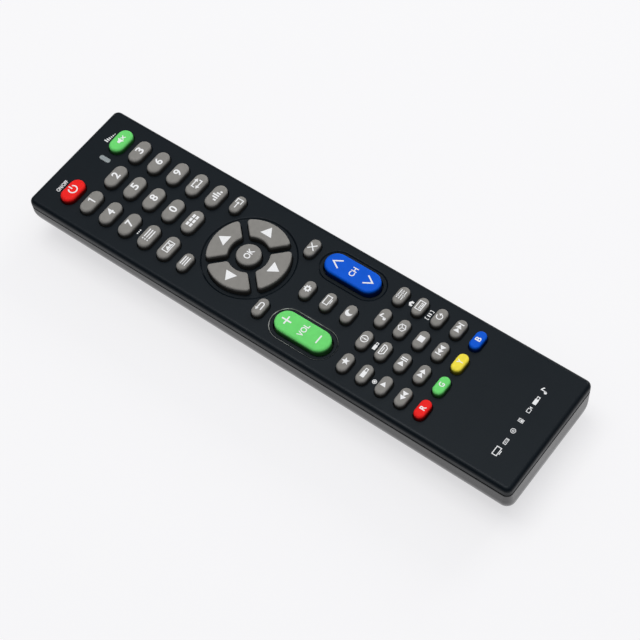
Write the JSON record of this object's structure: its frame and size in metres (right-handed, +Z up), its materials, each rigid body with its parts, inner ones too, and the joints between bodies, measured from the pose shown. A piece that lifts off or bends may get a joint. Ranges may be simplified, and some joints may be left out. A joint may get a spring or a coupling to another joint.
{
  "type": "universal remote control",
  "caption": "Slim hand-held remote control with a flat field of rubber keys, volume and channel rockers, a direction pad and a sliding battery cover.",
  "frame": {"origin": "middle of the resting face under the rear cover", "axes": "+Y along the casing to the infrared emitter, +Z up through the keys, +X to the right of a user who holds the emitter end away"},
  "size_m": [0.048, 0.198, 0.0214],
  "materials": {
    "black_shell": "fine matte grain",
    "grey_shell": "fine matte grain",
    "grey_rubber": "matte",
    "red_rubber": "matte",
    "green_rubber": "matte",
    "blue_rubber": "matte",
    "yellow_rubber": "matte",
    "mat_rubber": "matte",
    "board": "resin-bonded laminate",
    "emitter": "clear epoxy",
    "lens": "smoky, polished",
    "plated_contact": "nickel plated",
    "cell": "satin sleeve"
  },
  "bodies": {
    "casing": {"front_cover": "black_shell", "rear_cover": "grey_shell", "circuit_board": "board", "keypad_mat": "mat_rubber", "ir_led": "emitter", "indicator_lens": "lens", "battery_contacts": "plated_contact", "batteries": "cell"},
    "battery_cover": {"battery_cover": "grey_shell"},
    "key_volume": {"key_volume": "green_rubber"},
    "key_channel": {"key_channel": "blue_rubber"},
    "key_ok": {"key_ok": "grey_rubber"},
    "key_up": {"key_up": "grey_rubber"},
    "key_down": {"key_down": "grey_rubber"},
    "key_left": {"key_left": "grey_rubber"},
    "key_right": {"key_right": "grey_rubber"},
    "key_power": {"key_power": "red_rubber"},
    "key_mute": {"key_mute": "green_rubber"},
    "key_1": {"key_1": "grey_rubber"},
    "key_2": {"key_2": "grey_rubber"},
    "key_3": {"key_3": "grey_rubber"},
    "key_4": {"key_4": "grey_rubber"},
    "key_5": {"key_5": "grey_rubber"},
    "key_6": {"key_6": "grey_rubber"},
    "key_7": {"key_7": "grey_rubber"},
    "key_8": {"key_8": "grey_rubber"},
    "key_9": {"key_9": "grey_rubber"},
    "key_channel_list": {"key_channel_list": "grey_rubber"},
    "key_0": {"key_0": "grey_rubber"},
    "key_recall": {"key_recall": "grey_rubber"},
    "key_picture_mode": {"key_picture_mode": "grey_rubber"},
    "key_guide": {"key_guide": "grey_rubber"},
    "key_sound_mode": {"key_sound_mode": "grey_rubber"},
    "key_menu": {"key_menu": "grey_rubber"},
    "key_source": {"key_source": "grey_rubber"},
    "key_return": {"key_return": "grey_rubber"},
    "key_exit": {"key_exit": "grey_rubber"},
    "key_set": {"key_set": "grey_rubber"},
    "key_display": {"key_display": "grey_rubber"},
    "key_sleep": {"key_sleep": "grey_rubber"},
    "key_favourite": {"key_favourite": "grey_rubber"},
    "key_info": {"key_info": "grey_rubber"},
    "key_audio": {"key_audio": "grey_rubber"},
    "key_define": {"key_define": "grey_rubber"},
    "key_media_port": {"key_media_port": "grey_rubber"},
    "key_video_port": {"key_video_port": "grey_rubber"},
    "key_depth": {"key_depth": "grey_rubber"},
    "key_subtitle": {"key_subtitle": "grey_rubber"},
    "key_play": {"key_play": "grey_rubber"},
    "key_play_pause": {"key_play_pause": "grey_rubber"},
    "key_stop": {"key_stop": "grey_rubber"},
    "key_rotate": {"key_rotate": "grey_rubber"},
    "key_rewind": {"key_rewind": "grey_rubber"},
    "key_forward": {"key_forward": "grey_rubber"},
    "key_previous": {"key_previous": "grey_rubber"},
    "key_next": {"key_next": "grey_rubber"},
    "key_red": {"key_red": "red_rubber"},
    "key_green": {"key_green": "green_rubber"},
    "key_yellow": {"key_yellow": "yellow_rubber"},
    "key_blue": {"key_blue": "blue_rubber"}
  },
  "joints": [
    {"name": "battery_cover_slide", "type": "slide", "parent": "casing", "child": "battery_cover", "axis": [0, -1, 0], "range_m": [0, 0.058]},
    {"name": "key_volume_tip", "type": "hinge", "parent": "casing", "child": "key_volume", "pos_m": [-0.0137, -0.01225, 0.0168], "axis": [1, 0, 0], "range_deg": [-4, 4], "stiffness_Nm_per_rad": 0.11},
    {"name": "key_channel_tip", "type": "hinge", "parent": "casing", "child": "key_channel", "pos_m": [0.0137, -0.01225, 0.0168], "axis": [1, 0, 0], "range_deg": [-4, 4], "stiffness_Nm_per_rad": 0.11},
    {"name": "key_ok_press", "type": "slide", "parent": "casing", "child": "key_ok", "axis": [0, 0, -1], "range_m": [0, 0.001], "stiffness_N_per_m": 900},
    {"name": "key_up_press", "type": "slide", "parent": "casing", "child": "key_up", "axis": [0, 0, -1], "range_m": [0, 0.001], "stiffness_N_per_m": 900},
    {"name": "key_down_press", "type": "slide", "parent": "casing", "child": "key_down", "axis": [0, 0, -1], "range_m": [0, 0.001], "stiffness_N_per_m": 900},
    {"name": "key_left_press", "type": "slide", "parent": "casing", "child": "key_left", "axis": [0, 0, -1], "range_m": [0, 0.001], "stiffness_N_per_m": 900},
    {"name": "key_right_press", "type": "slide", "parent": "casing", "child": "key_right", "axis": [0, 0, -1], "range_m": [0, 0.001], "stiffness_N_per_m": 900},
    {"name": "key_power_press", "type": "slide", "parent": "casing", "child": "key_power", "axis": [0, 0, -1], "range_m": [0, 0.001], "stiffness_N_per_m": 900},
    {"name": "key_mute_press", "type": "slide", "parent": "casing", "child": "key_mute", "axis": [0, 0, -1], "range_m": [0, 0.001], "stiffness_N_per_m": 900},
    {"name": "key_1_press", "type": "slide", "parent": "casing", "child": "key_1", "axis": [0, 0, -1], "range_m": [0, 0.001], "stiffness_N_per_m": 900},
    {"name": "key_2_press", "type": "slide", "parent": "casing", "child": "key_2", "axis": [0, 0, -1], "range_m": [0, 0.001], "stiffness_N_per_m": 900},
    {"name": "key_3_press", "type": "slide", "parent": "casing", "child": "key_3", "axis": [0, 0, -1], "range_m": [0, 0.001], "stiffness_N_per_m": 900},
    {"name": "key_4_press", "type": "slide", "parent": "casing", "child": "key_4", "axis": [0, 0, -1], "range_m": [0, 0.001], "stiffness_N_per_m": 900},
    {"name": "key_5_press", "type": "slide", "parent": "casing", "child": "key_5", "axis": [0, 0, -1], "range_m": [0, 0.001], "stiffness_N_per_m": 900},
    {"name": "key_6_press", "type": "slide", "parent": "casing", "child": "key_6", "axis": [0, 0, -1], "range_m": [0, 0.001], "stiffness_N_per_m": 900},
    {"name": "key_7_press", "type": "slide", "parent": "casing", "child": "key_7", "axis": [0, 0, -1], "range_m": [0, 0.001], "stiffness_N_per_m": 900},
    {"name": "key_8_press", "type": "slide", "parent": "casing", "child": "key_8", "axis": [0, 0, -1], "range_m": [0, 0.001], "stiffness_N_per_m": 900},
    {"name": "key_9_press", "type": "slide", "parent": "casing", "child": "key_9", "axis": [0, 0, -1], "range_m": [0, 0.001], "stiffness_N_per_m": 900},
    {"name": "key_channel_list_press", "type": "slide", "parent": "casing", "child": "key_channel_list", "axis": [0, 0, -1], "range_m": [0, 0.001], "stiffness_N_per_m": 900},
    {"name": "key_0_press", "type": "slide", "parent": "casing", "child": "key_0", "axis": [0, 0, -1], "range_m": [0, 0.001], "stiffness_N_per_m": 900},
    {"name": "key_recall_press", "type": "slide", "parent": "casing", "child": "key_recall", "axis": [0, 0, -1], "range_m": [0, 0.001], "stiffness_N_per_m": 900},
    {"name": "key_picture_mode_press", "type": "slide", "parent": "casing", "child": "key_picture_mode", "axis": [0, 0, -1], "range_m": [0, 0.001], "stiffness_N_per_m": 900},
    {"name": "key_guide_press", "type": "slide", "parent": "casing", "child": "key_guide", "axis": [0, 0, -1], "range_m": [0, 0.001], "stiffness_N_per_m": 900},
    {"name": "key_sound_mode_press", "type": "slide", "parent": "casing", "child": "key_sound_mode", "axis": [0, 0, -1], "range_m": [0, 0.001], "stiffness_N_per_m": 900},
    {"name": "key_menu_press", "type": "slide", "parent": "casing", "child": "key_menu", "axis": [0, 0, -1], "range_m": [0, 0.001], "stiffness_N_per_m": 900},
    {"name": "key_source_press", "type": "slide", "parent": "casing", "child": "key_source", "axis": [0, 0, -1], "range_m": [0, 0.001], "stiffness_N_per_m": 900},
    {"name": "key_return_press", "type": "slide", "parent": "casing", "child": "key_return", "axis": [0, 0, -1], "range_m": [0, 0.001], "stiffness_N_per_m": 900},
    {"name": "key_exit_press", "type": "slide", "parent": "casing", "child": "key_exit", "axis": [0, 0, -1], "range_m": [0, 0.001], "stiffness_N_per_m": 900},
    {"name": "key_set_press", "type": "slide", "parent": "casing", "child": "key_set", "axis": [0, 0, -1], "range_m": [0, 0.001], "stiffness_N_per_m": 900},
    {"name": "key_display_press", "type": "slide", "parent": "casing", "child": "key_display", "axis": [0, 0, -1], "range_m": [0, 0.001], "stiffness_N_per_m": 900},
    {"name": "key_sleep_press", "type": "slide", "parent": "casing", "child": "key_sleep", "axis": [0, 0, -1], "range_m": [0, 0.001], "stiffness_N_per_m": 900},
    {"name": "key_favourite_press", "type": "slide", "parent": "casing", "child": "key_favourite", "axis": [0, 0, -1], "range_m": [0, 0.001], "stiffness_N_per_m": 900},
    {"name": "key_info_press", "type": "slide", "parent": "casing", "child": "key_info", "axis": [0, 0, -1], "range_m": [0, 0.001], "stiffness_N_per_m": 900},
    {"name": "key_audio_press", "type": "slide", "parent": "casing", "child": "key_audio", "axis": [0, 0, -1], "range_m": [0, 0.001], "stiffness_N_per_m": 900},
    {"name": "key_define_press", "type": "slide", "parent": "casing", "child": "key_define", "axis": [0, 0, -1], "range_m": [0, 0.001], "stiffness_N_per_m": 900},
    {"name": "key_media_port_press", "type": "slide", "parent": "casing", "child": "key_media_port", "axis": [0, 0, -1], "range_m": [0, 0.001], "stiffness_N_per_m": 900},
    {"name": "key_video_port_press", "type": "slide", "parent": "casing", "child": "key_video_port", "axis": [0, 0, -1], "range_m": [0, 0.001], "stiffness_N_per_m": 900},
    {"name": "key_depth_press", "type": "slide", "parent": "casing", "child": "key_depth", "axis": [0, 0, -1], "range_m": [0, 0.001], "stiffness_N_per_m": 900},
    {"name": "key_subtitle_press", "type": "slide", "parent": "casing", "child": "key_subtitle", "axis": [0, 0, -1], "range_m": [0, 0.001], "stiffness_N_per_m": 900},
    {"name": "key_play_press", "type": "slide", "parent": "casing", "child": "key_play", "axis": [0, 0, -1], "range_m": [0, 0.001], "stiffness_N_per_m": 900},
    {"name": "key_play_pause_press", "type": "slide", "parent": "casing", "child": "key_play_pause", "axis": [0, 0, -1], "range_m": [0, 0.001], "stiffness_N_per_m": 900},
    {"name": "key_stop_press", "type": "slide", "parent": "casing", "child": "key_stop", "axis": [0, 0, -1], "range_m": [0, 0.001], "stiffness_N_per_m": 900},
    {"name": "key_rotate_press", "type": "slide", "parent": "casing", "child": "key_rotate", "axis": [0, 0, -1], "range_m": [0, 0.001], "stiffness_N_per_m": 900},
    {"name": "key_rewind_press", "type": "slide", "parent": "casing", "child": "key_rewind", "axis": [0, 0, -1], "range_m": [0, 0.001], "stiffness_N_per_m": 900},
    {"name": "key_forward_press", "type": "slide", "parent": "casing", "child": "key_forward", "axis": [0, 0, -1], "range_m": [0, 0.001], "stiffness_N_per_m": 900},
    {"name": "key_previous_press", "type": "slide", "parent": "casing", "child": "key_previous", "axis": [0, 0, -1], "range_m": [0, 0.001], "stiffness_N_per_m": 900},
    {"name": "key_next_press", "type": "slide", "parent": "casing", "child": "key_next", "axis": [0, 0, -1], "range_m": [0, 0.001], "stiffness_N_per_m": 900},
    {"name": "key_red_press", "type": "slide", "parent": "casing", "child": "key_red", "axis": [0, 0, -1], "range_m": [0, 0.001], "stiffness_N_per_m": 900},
    {"name": "key_green_press", "type": "slide", "parent": "casing", "child": "key_green", "axis": [0, 0, -1], "range_m": [0, 0.001], "stiffness_N_per_m": 900},
    {"name": "key_yellow_press", "type": "slide", "parent": "casing", "child": "key_yellow", "axis": [0, 0, -1], "range_m": [0, 0.001], "stiffness_N_per_m": 900},
    {"name": "key_blue_press", "type": "slide", "parent": "casing", "child": "key_blue", "axis": [0, 0, -1], "range_m": [0, 0.001], "stiffness_N_per_m": 900}
  ]
}
